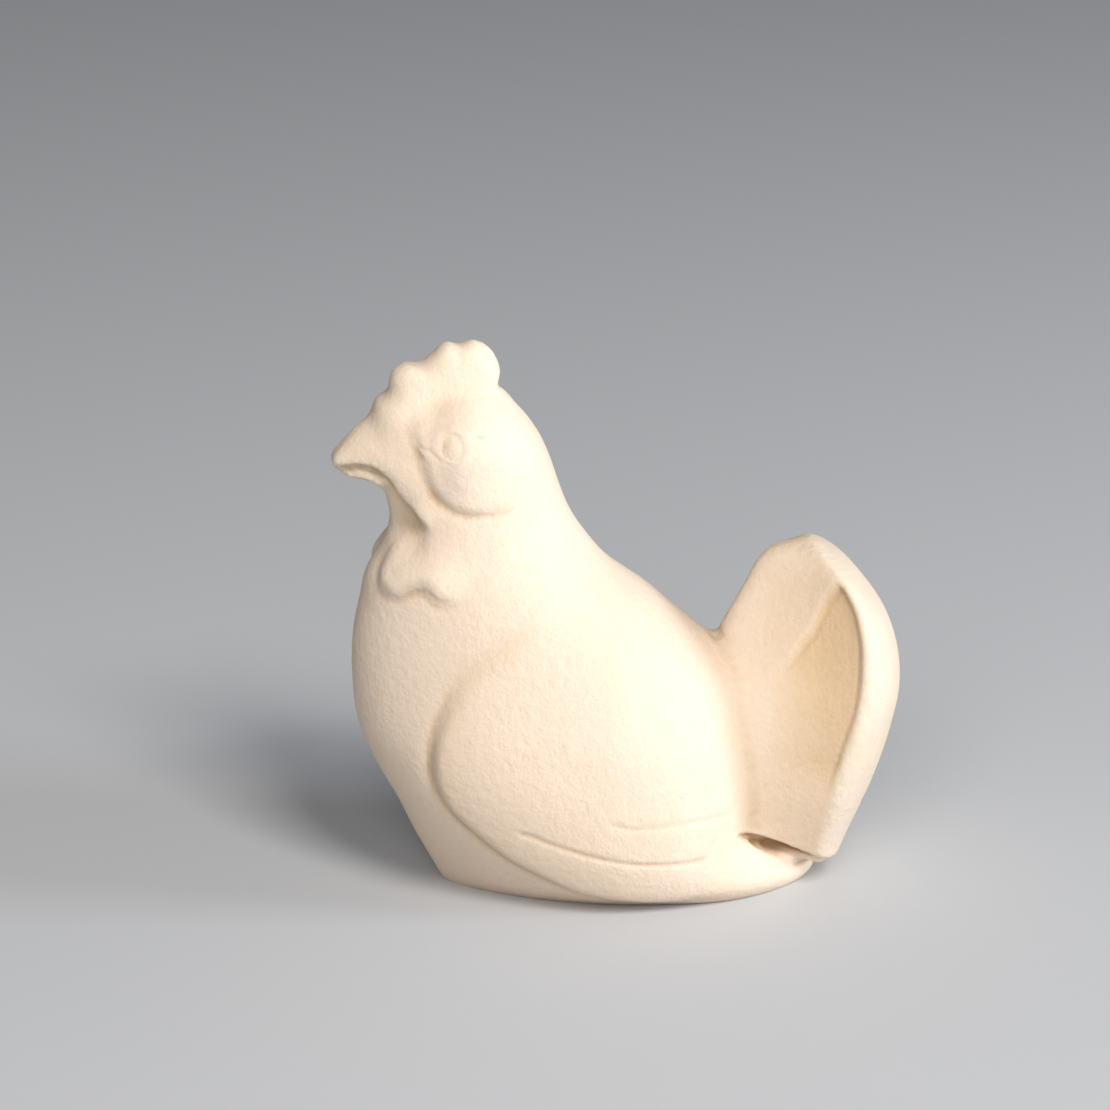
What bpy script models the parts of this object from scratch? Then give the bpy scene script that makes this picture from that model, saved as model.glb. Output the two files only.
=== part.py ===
"""A small carved hen that sits on its flat base, with its tail fanned up behind it.

The hen faces -Y, its left side is +X, the floor is Z = 0, and it is alike on both sides of X = 0. All sizes
are millimetres until the finished solids are scaled to metres. The hen is modelled whole, as the real one is,
and is then parted by thin cuts into the pieces that a person would name.
"""

import math

import bmesh
import bpy
import numpy as np

# Driving dimensions
MM = 0.001
CUT = 0.3            # width of the thin cuts between neighbouring pieces
GRAIN = 0.32         # fineness at which the forms are fused
TRIANGLES = 9500     # of the whole hen, before it is parted
BELOW_BASE = 0.8     # the trunk runs on below the floor, to where the flat base is cut
TRUNK_TOP = 38.0
TAIL_TOP = 25.0
BREAST_PINCH = 0.5   # how much narrower than an oval the breast is where it meets the floor
TAIL_HEEL = 15.0     # Y of the tail's lowest corners
TAIL_UNDERCUT = 0.3  # slope at which the tail's lower edge climbs from there to the body

# Level sections of trunk, neck and crown: height, front, back, half width, Y where it is widest
TRUNK = np.array([
    (-BELOW_BASE, -12.4, 13.6, 6.0, 5.0),
    (0.0, -13.0, 14.6, 7.8, 4.8),
    (1.0, -13.5, 15.0, 9.2, 4.0),
    (2.2, -14.1, 13.7, 9.9, 3.0),
    (4.0, -15.0, 10.6, 10.4, 2.0),
    (6.5, -16.1, 10.6, 10.7, 1.0),
    (9.5, -17.7, 10.6, 10.8, -0.5),
    (12.5, -18.9, 10.0, 10.5, -1.5),
    (16.0, -19.3, 8.6, 9.7, -2.5),
    (18.0, -19.3, 6.8, 9.1, -3.5),
    (20.0, -19.1, 4.6, 8.4, -5.0),
    (22.0, -18.65, 2.3, 7.6, -7.0),
    (24.0, -18.2, -0.4, 6.8, -8.5),
    (26.0, -17.0, -2.1, 6.0, -9.5),
    (28.0, -16.4, -3.4, 5.4, -10.0),
    (30.0, -16.6, -4.2, 5.0, -9.8),
    (32.0, -14.0, -4.85, 4.8, -10.0),
    (34.0, -13.6, -5.75, 4.5, -10.4),
    (36.0, -13.4, -7.3, 3.4, -10.8),
    (TRUNK_TOP - 0.4, -12.8, -9.4, 1.6, -11.2),
    (TRUNK_TOP, -11.4, -11.1, 0.0, -11.2),
])

# Level sections of the tail: height, front, half width there, crease of the rim, half width there, back
TAIL = np.array([
    (1.7, 3.0, 4.6, 12.9, 7.0, 16.4),
    (4.0, 3.0, 4.8, 13.0, 7.8, 17.4),
    (8.0, 3.0, 5.0, 14.0, 9.1, 19.1),
    (12.0, 3.0, 4.9, 15.4, 9.7, 20.3),
    (15.0, 4.5, 4.2, 16.2, 9.7, 20.8),
    (18.0, 7.3, 2.8, 16.6, 9.1, 20.4),
    (20.0, 8.4, 2.0, 16.6, 8.3, 19.6),
    (22.0, 9.5, 1.6, 16.2, 7.0, 18.2),
    (23.6, 10.4, 1.4, 15.3, 5.1, 16.7),
    (TAIL_TOP - 0.6, 11.3, 1.3, 14.6, 3.1, 15.4),
    (TAIL_TOP, 12.8, 0.5, 14.1, 0.9, 14.3),
])

# Upright sections of beak and face, from the tip back: Y, half width, top, bottom
FACE = np.array([
    (-20.85, 0.4, 32.5, 31.9),
    (-20.5, 0.85, 32.85, 31.7),
    (-19.8, 1.35, 33.65, 31.35),
    (-18.8, 2.0, 34.8, 30.95),
    (-17.8, 2.6, 35.5, 30.75),
    (-16.8, 3.2, 36.4, 30.1),
    (-15.6, 3.75, 37.1, 28.8),
    (-14.2, 4.2, 37.3, 28.3),
    (-12.0, 4.2, 36.8, 29.0),
])

# Outlines seen from the side, as (Y, Z)
COMB = [(-17.4, 34.8), (-17.65, 35.8), (-17.3, 36.75), (-16.75, 36.9), (-16.4, 37.5), (-16.35, 38.3),
        (-15.9, 39.0), (-15.1, 39.35), (-14.2, 39.2), (-13.4, 39.8), (-12.3, 40.8), (-11.4, 40.5),
        (-10.3, 40.85), (-9.05, 40.1), (-8.4, 38.6), (-8.7, 37.4), (-9.1, 35.4), (-12.0, 34.0)]
COMB_MIDDLE = (-12.3, 37.0)
# The crease round the front and the underside of the cheek
CHEEK = [(-13.6, 37.6), (-14.8, 36.6), (-15.15, 35.4), (-15.0, 34.4), (-14.8, 33.6), (-14.5, 32.8),
         (-14.3, 32.0), (-13.95, 31.2), (-13.4, 30.35), (-12.7, 29.8), (-11.9, 29.45), (-10.9, 29.3),
         (-9.8, 29.3), (-8.8, 29.45), (-7.7, 29.8), (-6.6, 30.4)]
CHEEK_RELIEF = 0.42
NECK_AXIS = -9.5      # Y of the upright axis that the wattles hang round
NECK_ROUND = 7.5     # radius at which their width is told
# The lower edge of the left wattle: distance round the neck from the middle of the throat, and Z
WATTLE = [(2.2, 29.5), (1.3, 27.6), (1.1, 26.2), (1.35, 25.2), (1.75, 24.4), (2.3, 23.75), (3.0, 23.35),
          (3.8, 23.2), (4.4, 23.4), (5.0, 23.8), (5.6, 23.98), (6.1, 23.95), (6.6, 23.6), (7.2, 23.3),
          (7.9, 23.25), (8.6, 23.5), (9.4, 24.2), (9.9, 25.6)]
WATTLE_RELIEF = 0.6
# Where the wattle is parted off, seen from the side, and how far from the neck's axis
WATTLE_PIECE = [(-16.9, 27.4), (-17.5, 25.9), (-17.8, 24.2), (-17.3, 23.3), (-16.4, 23.05), (-15.6, 23.4),
                (-14.8, 23.85), (-14.3, 23.8), (-13.6, 23.25), (-12.7, 23.1), (-11.9, 23.5), (-11.5, 24.6),
                (-12.0, 26.2), (-13.4, 27.4), (-15.2, 28.0)]
WATTLE_MIDDLE = (-14.6, 25.6)
WATTLE_ROOT = 6.2
# The mouth from the tip of the beak to its corner, and on down the edge of the jaw
MOUTH = [(-20.9, 32.0), (-20.1, 32.0), (-19.0, 32.3), (-18.15, 32.3), (-17.5, 32.1), (-16.95, 31.8),
         (-16.5, 31.4), (-16.2, 30.85), (-15.7, 30.15), (-15.15, 29.5), (-14.6, 28.8), (-13.9, 28.2)]
MOUTH_STEP = 0.35
LIP = 0.3            # how far the edge of the lower beak stands out
THROAT_HOLLOW = 0.8
# The slot under the tail
SLOT = [(8.3, 4.9), (9.1, 4.4), (11.2, 3.65), (13.3, 2.85), (15.2, 2.1), (15.2, 1.6), (13.2, 2.15),
        (11.0, 2.75), (8.9, 3.8)]
SLOT_DEPTH = 2.0
# The upper edge of the lowered panel on each face of the tail
PANEL_TOP = [(15.2, 23.3), (14.4, 22.0), (13.6, 20.2), (13.1, 19.3), (12.5, 18.5), (11.8, 17.6),
             (11.1, 16.85), (10.2, 15.9)]
PANEL_DEPTH = 0.45
WING_EDGE = [(-6.0, 22.4), (-7.6, 21.5), (-11.4, 18.8), (-12.6, 17.1), (-13.8, 14.4), (-14.2, 12.2),
             (-14.0, 10.2), (-13.0, 8.1), (-11.1, 6.2), (-8.9, 4.4), (-6.5, 3.1), (-3.9, 1.9), (0.3, 1.0),
             (4.0, 0.8), (8.0, 1.2)]
WING_BACK = [(9.2, 3.4), (9.3, 8.5), (7.6, 14.2), (3.5, 18.3), (-1.5, 21.4)]
WING_MIDDLE = (-2.0, 9.8)
WING_RELIEF = 0.85   # how far the wing's edge stands out from the breast

# Where the tail's faces run into the flanks, as (X, Y, Z) on the left
VALLEY = np.array([(0.0, 7.4, 18.2), (4.0, 8.6, 17.0), (5.4, 9.2, 14.0), (6.2, 9.4, 10.0), (6.1, 9.4, 6.0),
                   (5.8, 9.4, 4.5)])
# The crease of the tail's rim, the same way
RIM = TAIL[:, [4, 3, 0]]

EYE = (4.9, -12.8, 34.1)
EYE_RADIUS = 0.9


def clear_scene():
    for ob in list(bpy.data.objects):
        bpy.data.objects.remove(ob)


def ease(x, low, high):
    """0 below low, 1 above high, and smooth between them."""
    t = np.clip((x - low) / (high - low), 0, 1)
    return t * t * (3 - 2 * t)


def column(table, index, at):
    """One column of a table of sections, on a smooth curve through its rows."""
    x, y = table[:, 0], table[:, index]
    slope = np.gradient(y, x)
    i = np.clip(np.searchsorted(x, at, side="right") - 1, 0, len(x) - 2)
    span = x[i + 1] - x[i]
    t = (at - x[i]) / span
    start = (1 + 2 * t) * (1 - t) ** 2 * y[i] + t * (1 - t) ** 2 * span * slope[i]
    end = t * t * (3 - 2 * t) * y[i + 1] - t * t * (1 - t) * span * slope[i + 1]
    return start + end


def curve_through(knots, count, closed=True):
    """A smooth curve of count points through the knots."""
    knots = np.asarray(knots, float)
    n = len(knots)
    t = np.linspace(0, n, count, endpoint=False) if closed else np.linspace(0, n - 1.001, count)
    i = t.astype(int)
    turn = (lambda k: k % n) if closed else (lambda k: np.clip(k, 0, n - 1))
    a, b, c, d = (knots[turn(i + k)] for k in (-1, 0, 1, 2))
    f = (t - i)[:, None]
    bend = (2 * a - 5 * b + 4 * c - d) * f ** 2 + (3 * b - 3 * c + d - a) * f ** 3
    return 0.5 * (2 * b + (c - a) * f + bend)


def distance(points, route):
    """Distance from each point to a route, in two or three dimensions."""
    best = np.full(len(points), np.inf)
    for a, b in zip(route[:-1], route[1:]):
        step = b - a
        t = np.clip((points - a) @ step / (step @ step), 0, 1)
        best = np.minimum(best, np.linalg.norm(points - a - t[:, None] * step, axis=1))
    return best


def within(points, outline):
    """Whether each flat point is inside the closed outline."""
    inside = np.zeros(len(points), bool)
    u, v = points.T
    for (au, av), (bu, bv) in zip(outline, np.roll(outline, -1, axis=0)):
        if av != bv:
            inside ^= ((av > v) != (bv > v)) & (u < (bu - au) * (v - av) / (bv - av) + au)
    return inside


def new_object(name, bm):
    mesh = bpy.data.meshes.new(name)
    bm.to_mesh(mesh)
    bm.free()
    ob = bpy.data.objects.new(name, mesh)
    bpy.context.scene.collection.objects.link(ob)
    return ob


def moulded(name, form, around=96, levels=60):
    """A ball pulled to a form, which gives X, Y and Z for the angle round it and the level up it, 0 to 1."""
    bm = bmesh.new()
    bmesh.ops.create_uvsphere(bm, u_segments=around, v_segments=levels, radius=1)
    ball = np.array([vert.co[:] for vert in bm.verts])
    level = np.arccos(np.clip(-ball[:, 2], -1, 1)) / math.pi
    angle = np.arctan2(ball[:, 0], ball[:, 1])
    for vert, point in zip(bm.verts, np.stack(form(angle, level), -1)):
        vert.co = point
    if bm.calc_volume(signed=True) < 0:
        bmesh.ops.reverse_faces(bm, faces=bm.faces)
    return new_object(name, bm)


def ellipsoid(name, middle, radii, nod=0.0, around=48):
    """A ball with three radii, turned about X by nod."""
    c, s = math.cos(nod), math.sin(nod)

    def form(angle, level):
        ring = np.sin(level * math.pi)
        x = radii[0] * ring * np.sin(angle)
        y = radii[1] * ring * np.cos(angle)
        z = -radii[2] * np.cos(level * math.pi)
        return middle[0] + x, middle[1] + y * c - z * s, middle[2] + y * s + z * c

    return moulded(name, form, around, around * 2 // 3)


def trunk_form(angle, level):
    """Ovals from below the base to the crown, each with its own front, back and width."""
    foot = 0.05
    z = -BELOW_BASE + (TRUNK_TOP + BELOW_BASE) * np.clip((level - foot) / (1 - foot), 0, 1)
    front, back, half, widest = (column(TRUNK, k, z) for k in (1, 2, 3, 4))
    spread = np.clip(level / foot, 0, 1)
    s, c = np.sin(angle), np.cos(angle)
    reach = np.where(c > 0, back - widest, widest - front)
    pinch = np.where(c < 0, 1 + BREAST_PINCH * (1 - ease(z, 0, 7)), 1)
    return half * spread * np.sign(s) * np.abs(s) ** pinch, widest + reach * spread * c, z


def tail_form(angle, level):
    """A fan that is thin at its ridge, flares out to the crease of its rim and is rounded behind."""
    foot = 0.06
    z = TAIL[0, 0] + (TAIL_TOP - TAIL[0, 0]) * np.clip((level - foot) / (1 - foot), 0, 1)
    front, ridge, crease, rim, rear = (column(TAIL, k, z) for k in (1, 2, 3, 4, 5))
    spread = np.clip(level / foot, 0, 1)
    turn = np.abs(angle)
    behind = turn < math.pi / 2
    s = np.clip(turn / (math.pi / 2) - 1, 0, 1)
    face = (ridge + (rim - ridge) * (1 - s) ** 1.8) * np.sqrt(1 - s ** 5)
    x = np.where(behind, rim * np.abs(np.sin(turn)) ** 1.15, face) * np.sign(angle)
    y = np.where(behind, crease + (rear - crease) * np.cos(turn), crease + (front - crease) * s)
    core = crease - 1.4
    y = core + (y - core) * spread
    z = z + TAIL_UNDERCUT * np.clip(TAIL_HEEL - y, 0, None) * (1 - level) ** 3
    return x * spread, y, z


def face_form(angle, level):
    """Beak and face in one: a keel along the top, widest low down at the mouth and jaw."""
    y = FACE[0, 0] + (FACE[-1, 0] - FACE[0, 0]) * level
    half, top, bottom = (column(FACE, k, y) for k in (1, 2, 3))
    spread = np.sqrt(np.clip(np.minimum(level, 1 - level) / 0.05, 0, 1))
    s, c = np.sin(angle), np.cos(angle)
    middle = bottom + (top - bottom) * 0.42
    z = np.where(c > 0, (top - middle) * np.abs(c) ** 1.2, (bottom - middle) * np.abs(c) ** 0.9)
    return half * spread * np.sign(s) * np.abs(s) ** 0.9, y, middle + z * spread


def comb_form(angle, level):
    """A single comb: its lobed outline, thick at the root and thin at the top."""
    outline = curve_through(COMB, 720)
    edge = outline[np.round((angle + math.pi) / (2 * math.pi) * 720).astype(int) % 720]
    across = np.cos((level - 0.5) * math.pi) ** 0.35
    y, z = (COMB_MIDDLE[k] + (edge[:, k] - COMB_MIDDLE[k]) * across for k in (0, 1))
    thick = np.interp(z, (34, 36, 38, 41), (3.4, 2.6, 1.8, 1.4))
    return -np.cos(level * math.pi) * thick, y, z


def pad_form(side, outline, middle, rest, out, deep, square, wider=0.0):
    """A rounded pad on one side, that reaches out and deep from the depth that rest gives."""

    def form(angle, level):
        edge = outline[np.round((angle + math.pi) / (2 * math.pi) * len(outline)).astype(int) % len(outline)]
        reach = edge - middle
        reach = reach * (1 + wider / np.linalg.norm(reach, axis=1))[:, None]
        across = np.sin(level * math.pi)
        y, z = (middle[k] + reach[:, k] * across for k in (0, 1))
        dome = np.clip(1 - across ** square, 0, 1) ** (1 / square)
        x = rest(y, z) + np.where(level > 0.5, out, -deep) * dome
        return side * x, y, z

    return form


def wing_rest(y, z):
    return 8.0 + 0 * y


def wattle_rest(y, z):
    root = WATTLE_ROOT - 0.45 * np.clip(z - 26.0, 0, 3)
    return np.maximum(0.9, np.sqrt(np.clip(root ** 2 - (y - NECK_AXIS) ** 2, 0, None)))


def applied(ob):
    """The object with its modifiers applied."""
    graph = bpy.context.evaluated_depsgraph_get()
    mesh = bpy.data.meshes.new_from_object(ob.evaluated_get(graph))
    name = ob.name
    bpy.data.objects.remove(ob)
    new = bpy.data.objects.new(name, mesh)
    bpy.context.scene.collection.objects.link(new)
    return new


def fused(name, parts, grain):
    """The parts run together into one closed surface, as if carved from one block."""
    bm = bmesh.new()
    for ob in parts:
        bm.from_mesh(ob.data)
        bpy.data.objects.remove(ob)
    whole = new_object(name, bm)
    remesh = whole.modifiers.new("fuse", "REMESH")
    remesh.mode = "VOXEL"
    remesh.voxel_size = grain
    return applied(whole)


def points_of(ob):
    co = np.empty(len(ob.data.vertices) * 3)
    ob.data.vertices.foreach_get("co", co)
    return co.reshape(-1, 3)


def normals_of(ob):
    normals = np.empty(len(ob.data.vertices) * 3)
    ob.data.vertex_normals.foreach_get("vector", normals)
    return normals.reshape(-1, 3)


def sanded(ob, passes, weight=None):
    """Smooths the surface, everywhere or most where the weight is 1."""
    smooth = ob.modifiers.new("sand", "SMOOTH")
    smooth.factor = 0.5
    smooth.iterations = passes
    if weight is not None:
        group = ob.vertex_groups.new(name="sand")
        steps = np.round(np.clip(weight, 0, 1) * 20).astype(int)
        for step in range(1, 21):
            group.add(np.flatnonzero(steps == step).tolist(), step / 20, "REPLACE")
        smooth.vertex_group = group.name
    return applied(ob)


def left_side(vectors, points):
    """Vectors of the right side turned over to the left, as the hen is alike on both sides."""
    return vectors * np.where(points[:, :1] < 0, (-1, 1, 1), (1, 1, 1))


def raised(hen, relief):
    """Moves the surface out by the relief, a function of points and normals seen from the left."""
    points, normals = points_of(hen), normals_of(hen)
    points += normals * relief(left_side(points, points), left_side(normals, points))[:, None]
    hen.data.vertices.foreach_set("co", points.ravel())
    hen.data.update()


def side_of(flat, route, far):
    """Distance from the route, negative on the side away from the far points."""
    inside = within(flat, np.vstack([route, far]))
    return distance(flat, route) * np.where(inside, 1, -1)


def wing_relief(points, normals):
    """A rounded edge in front and below that fades out on the back."""
    flat = points[:, 1:]
    edge = curve_through(WING_EDGE, 160, closed=False)
    depth = side_of(flat, edge, [(13.0, 8.0), (11.0, 20.0), (0.0, 26.0)])
    lift = WING_RELIEF * ease(depth, -0.5, 0.9) * (1 - 0.75 * ease(depth, 1.5, 9.0))
    groove = 0.25 * np.exp(-((depth + 0.35) / 0.5) ** 2)
    fade = (1 - ease(flat[:, 1], 10.5, 21.0)) * (1 - ease(flat[:, 0], -3.0, 8.0))
    sideways = ease(normals[:, 0], 0.15, 0.6) * ease(points[:, 0], 3.0, 5.5)
    return (lift - groove) * fade * sideways


def cheek_relief(points, normals):
    """A low dome with a crease in front and below, that runs smoothly into the head above and behind."""
    flat = points[:, 1:]
    depth = side_of(flat, curve_through(CHEEK, 120, closed=False), [(-6.0, 38.0)])
    front = 1 - ease(flat[:, 0], -12.5, -6.5)
    low = 1 - 0.8 * ease(flat[:, 1], 33.0, 37.0)
    lift = CHEEK_RELIEF * ease(depth, -0.2, 0.8) * (1 - 0.3 * ease(depth, 1.5, 4.5))
    groove = 0.16 * np.exp(-((depth + 0.12) / 0.3) ** 2)
    return (lift - groove) * front * low * ease(normals[:, 0], 0.2, 0.6) * ease(points[:, 0], 1.8, 3.2)


def mouth_relief(points, normals):
    """The upper beak and the jaw stand out over the lower beak and the hollow of the throat."""
    flat = points[:, 1:]
    depth = side_of(flat, curve_through(MOUTH, 120, closed=False), [(-12.0, 36.0), (-22.0, 36.0)])
    jaw = ease(flat[:, 0], -17.3, -16.2)
    sideways = ease(points[:, 0], 0.1, 0.8)
    lift = MOUTH_STEP * ease(depth, -0.2, 0.25) * (1 - ease(depth, 0.3, 2.2)) * sideways
    groove = MOUTH_STEP * np.exp(-((depth + 0.3) / 0.28) ** 2) * (1 - jaw) * sideways
    lip = LIP * np.exp(-((depth + 0.75) / 0.25) ** 2) * (1 - jaw) * sideways
    hollow = THROAT_HOLLOW * jaw * ease(-depth, -0.1, 0.4) * (1 - ease(-depth, 0.4, 3.6))
    hollow *= (1 - ease(flat[:, 0], -15.8, -13.6)) * ease(points[:, 0], 0.3, 2.2)
    return (lift + lip - groove - hollow) * (1 - ease(flat[:, 0], -14.8, -13.0))


def slot_relief(points, normals):
    """The slot between the tail's lower edge and the lobe that the hen sits on."""
    flat = points[:, 1:]
    edge = np.array(SLOT + SLOT[:1])
    depth = distance(flat, edge) * np.where(within(flat, edge[:-1]), 1, -1)
    return -SLOT_DEPTH * ease(depth, -0.15, 0.35) * ease(normals[:, 0], 0.1, 0.5)


def wattle_relief(points, normals):
    """A soft pad with two scallops below that fades out upwards."""
    x, y, z = points.T
    flat = np.stack([np.arctan2(x, NECK_AXIS - y) * NECK_ROUND, z], -1)
    edge = curve_through(WATTLE, 160, closed=False)
    depth = side_of(flat, edge, [(9.9, 32.0), (2.2, 32.0)])
    lift = WATTLE_RELIEF * ease(depth, -0.4, 0.9) * (1 - 0.3 * ease(depth, 0.8, 3.0))
    lift *= 1 - ease(z, 24.6, 28.2)
    lift *= (1 - 0.85 * ease(flat[:, 0], 6.5, 9.5)) * (0.3 + 0.7 * ease(flat[:, 0], 1.2, 3.2))
    groove = 0.1 * np.exp(-((depth + 0.3) / 0.35) ** 2) * (1 - ease(z, 24.0, 26.0))
    groove *= 1 - ease(flat[:, 0], 7.5, 9.5)
    return (lift - groove) * ease(x, 0.1, 0.9)


def panel_relief(points, normals):
    """The tail's middle feathers lie lower than those above them, deepest beside the rim."""
    flat = points[:, 1:]
    under = -side_of(flat, curve_through(PANEL_TOP, 40, closed=False), [(8.0, 30.0), (20.0, 30.0)])
    crease = column(TAIL, 3, np.clip(flat[:, 1], TAIL[0, 0], TAIL_TOP))
    beside = 1 - ease(flat[:, 0] - crease, -0.6, 0.0)
    dished = ease(flat[:, 0], 9.5, 14.0) * ease(flat[:, 1], 7.0, 11.0)
    return -PANEL_DEPTH * ease(under, -0.15, 0.5) * dished * beside * ease(-normals[:, 1], 0, 0.3)


def whole_hen(grain):
    """The hen in one piece, with its flat base at Z = 0."""
    hen = fused("hen", [
        moulded("trunk", trunk_form, 96, 120),
        moulded("tail", tail_form),
        moulded("face", face_form, 64, 64),
        ellipsoid("crown", (0, -10.9, 33.2), (5.1, 4.5, 4.35), -0.1),
        ellipsoid("cheeks", (0, -11.0, 31.6), (5.0, 3.5, 2.9)),
    ], grain)
    points = left_side(points_of(hen), points_of(hen))
    valley = ease(6.5 - distance(points, VALLEY), 0, 4.0) * ease(points[:, 0], 0.3, 2.5)
    hen = sanded(hen, round(9.0 / grain ** 2), valley)
    points = left_side(points_of(hen), points_of(hen))
    hen = sanded(hen, round(0.75 / grain ** 2), 0.1 + 0.9 * ease(distance(points, RIM), 0.3, 1.3))
    hen = fused("hen", [
        hen,
        moulded("comb", comb_form, 96, 40),
    ], grain)
    hen = sanded(hen, round(0.2 / grain ** 2))
    points = left_side(points_of(hen), points_of(hen))
    head = ease(points[:, 2], 30.0, 33.0) * (0.15 + 0.85 * ease(points[:, 0], 0.8, 2.2))
    hen = sanded(hen, round(1.2 / grain ** 2), head)
    for relief in (wing_relief, cheek_relief, wattle_relief, mouth_relief, slot_relief, panel_relief):
        raised(hen, relief)
    hen = sanded(fused("hen", [hen], grain), 2)
    return flat_based(hen)


def flat_based(hen):
    """Cuts the form off level at the floor and closes the cut with one flat face."""
    bm = bmesh.new()
    bm.from_mesh(hen.data)
    bpy.data.objects.remove(hen)
    everything = bm.verts[:] + bm.edges[:] + bm.faces[:]
    bmesh.ops.bisect_plane(bm, geom=everything, plane_co=(0, 0, 0), plane_no=(0, 0, -1), clear_outer=True)
    rim = [edge for edge in bm.edges if edge.is_boundary]
    bmesh.ops.contextual_create(bm, geom=rim)
    bmesh.ops.recalc_face_normals(bm, faces=bm.faces)
    return new_object("hen", bm)


def thinned(ob, triangles):
    """The same form in about this many triangles."""
    ob.data.calc_loop_triangles()
    decimate = ob.modifiers.new("thin", "DECIMATE")
    decimate.ratio = triangles / len(ob.data.loop_triangles)
    decimate.use_collapse_triangulate = True
    return applied(ob)


def largest_surface(ob):
    """Keeps only the largest closed surface of an object."""
    bm = bmesh.new()
    bm.from_mesh(ob.data)
    bm.verts.ensure_lookup_table()
    left = set(bm.verts)
    shells = []
    while left:
        shell = []
        front = [left.pop()]
        while front:
            vert = front.pop()
            shell.append(vert)
            for edge in vert.link_edges:
                other = edge.other_vert(vert)
                if other in left:
                    left.remove(other)
                    front.append(other)
        shells.append(shell)
    shells.sort(key=len)
    for shell in shells[:-1]:
        bmesh.ops.delete(bm, geom=shell, context="VERTS")
    bmesh.ops.triangulate(bm, faces=bm.faces)
    bm.to_mesh(ob.data)
    bm.free()


def boolean(ob, tool, operation):
    """A copy of the object after one Boolean with the tool."""
    copy = bpy.data.objects.new(ob.name, ob.data.copy())
    bpy.context.scene.collection.objects.link(copy)
    cut = copy.modifiers.new("part", "BOOLEAN")
    cut.operation = operation
    cut.object = tool
    return applied(copy)


def prism(name, outline, half=14.0, wider=0.0):
    """A block across the hen with this convex outline in Y and Z, wider by the given amount all round."""
    outline = np.asarray(outline, float)
    after = np.roll(outline, -1, axis=0) - outline
    after /= np.linalg.norm(after, axis=1)[:, None]
    before = np.roll(after, 1, axis=0)
    out_before, out_after = (np.stack([d[:, 1], -d[:, 0]], -1) for d in (before, after))
    corner = out_before + out_after
    corner /= np.sum(corner * out_after, axis=1)[:, None]
    outline = outline + corner * wider
    bm = bmesh.new()
    verts = [bm.verts.new((-half - wider, y, z)) for y, z in outline]
    face = bm.faces.new(verts)
    swept = bmesh.ops.extrude_face_region(bm, geom=[face])["geom"]
    bmesh.ops.translate(bm, verts=[g for g in swept if isinstance(g, bmesh.types.BMVert)],
                        vec=(2 * (half + wider), 0, 0))
    bmesh.ops.recalc_face_normals(bm, faces=bm.faces)
    return new_object(name, bm)


# Regions of the thin cuts. Each gives its tool, wider by the given amount all round
def eye_region(side):
    middle = (side * EYE[0], EYE[1], EYE[2])
    return lambda wider: ellipsoid("tool", middle, (EYE_RADIUS + wider,) * 3, around=14)


def pad_region(side, outline, middle, rest, deep, square):
    return lambda wider: moulded(
        "tool", pad_form(side, outline, middle, rest, 9.0, deep + wider, square, wider), 36, 10)


def block_region(outline, half=14.0):
    return lambda wider: prism("tool", outline, half, wider)


def regions():
    """Every piece but the torso, in the order that they are parted from the whole."""
    wattle = curve_through(WATTLE_PIECE, 720)
    wing = curve_through(WING_EDGE + WING_BACK, 720)
    found = []
    for side, name in ((1, "left"), (-1, "right")):
        found.append(("eye_" + name, eye_region(side)))
        found.append(("wattle_" + name, pad_region(side, wattle, WATTLE_MIDDLE, wattle_rest, 0.3, 4.0)))
        found.append(("wing_" + name, pad_region(side, wing, WING_MIDDLE, wing_rest, 1.6, 4.0)))
    found += [
        ("comb", block_region([(-19.0, 36.5), (-8.2, 36.9), (-8.2, 43.0), (-19.0, 43.0)], 2.4)),
        ("beak_lower", block_region([(-22.0, 29.0), (-16.6, 29.0), (-16.6, 31.2), (-17.6, 31.9),
                                     (-22.0, 31.9)])),
        ("beak_upper", block_region([(-22.0, 32.2), (-17.5, 32.2), (-16.6, 31.5), (-16.6, 38.0),
                                     (-22.0, 38.0)])),
        ("head", block_region([(-24.0, 28.5), (-1.0, 29.2), (-1.0, 44.0), (-24.0, 44.0)])),
        ("neck", block_region([(-24.0, 22.4), (6.0, 23.4), (6.0, 34.0), (-24.0, 34.0)])),
        ("tail", block_region([(9.2, 4.0), (11.5, 2.9), (14.5, 2.3), (26.0, 2.2), (26.0, 30.0), (7.2, 30.0),
                               (7.2, 17.0)])),
    ]
    return found


def coloured(ob, rgb, roughness=0.75):
    material = bpy.data.materials.new(ob.name)
    material.use_nodes = True
    surface = material.node_tree.nodes["Principled BSDF"]
    surface.inputs["Base Color"].default_value = (*rgb, 1)
    surface.inputs["Roughness"].default_value = roughness
    surface.inputs["Metallic"].default_value = 0
    ob.data.materials.clear()
    ob.data.materials.append(material)


WOOD = (0.72, 0.55, 0.36)


def build():
    clear_scene()
    rest_of_hen = thinned(whole_hen(GRAIN), TRIANGLES)
    pieces = []
    for name, region in regions():
        tool = region(0.0)
        piece = boolean(rest_of_hen, tool, "INTERSECT")
        bpy.data.objects.remove(tool)
        tool = region(CUT)
        less = boolean(rest_of_hen, tool, "DIFFERENCE")
        bpy.data.objects.remove(tool)
        bpy.data.objects.remove(rest_of_hen)
        rest_of_hen = less
        piece.name = name
        pieces.append(piece)
    rest_of_hen.name = "torso"
    pieces.append(rest_of_hen)
    for piece in pieces:
        largest_surface(piece)
        piece.data.name = piece.name
        piece.data.transform(((MM, 0, 0, 0), (0, MM, 0, 0), (0, 0, MM, 0), (0, 0, 0, 1)))
        coloured(piece, WOOD)


build()
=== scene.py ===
"""A small hen carved in one piece from pale wood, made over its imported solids.

The hen faces -Y, its left side is +X and it sits on Z = 0. Forms are worked out in millimetres, and each
finished piece is brought to metres.
"""

import math

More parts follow.
